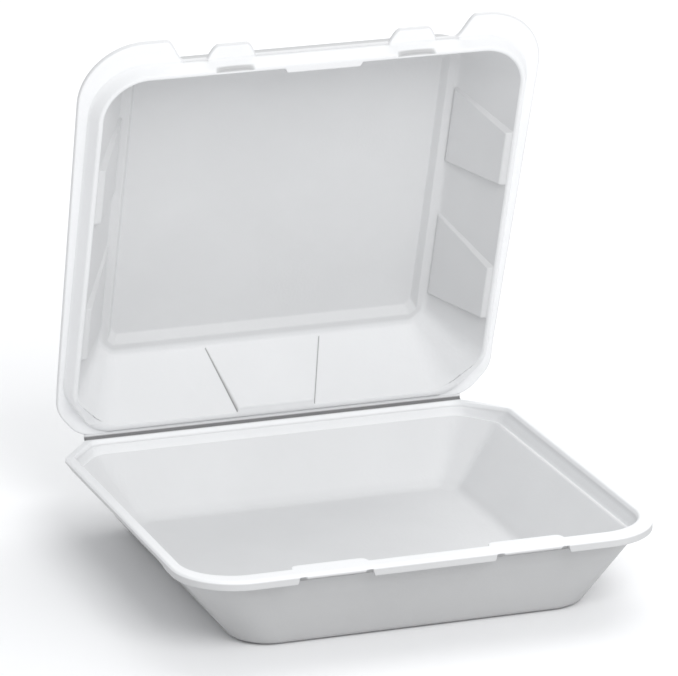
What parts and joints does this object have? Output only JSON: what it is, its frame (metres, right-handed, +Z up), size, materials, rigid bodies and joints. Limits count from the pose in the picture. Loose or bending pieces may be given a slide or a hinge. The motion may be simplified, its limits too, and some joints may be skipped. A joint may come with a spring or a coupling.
{
  "type": "hinged-lid food container",
  "caption": "Moulded foam food tray with a hinged lid, shown standing open; ledge inside the rim, front catches and tabs, raised lid panel and stiffening lugs.",
  "frame": {"origin": "on the flat underside of the tray, midway across and close to the middle front to back", "axes": "+Z up, +X along the hinge to the right seen from the front, -Y towards the front edge"},
  "size_m": [0.23, 0.2442, 0.2478],
  "materials": {
    "foam": "matte"
  },
  "bodies": {
    "tray": {"base_tray": "foam", "living_hinge": "foam"},
    "lid": {"lid": "foam"}
  },
  "joints": [
    {"name": "lid_hinge", "type": "hinge", "parent": "tray", "child": "lid", "pos_m": [0, 0.1115, 0.0375], "axis": [-1, 0, 0], "range_deg": [-72, 108], "deforming": ["living_hinge"]}
  ]
}
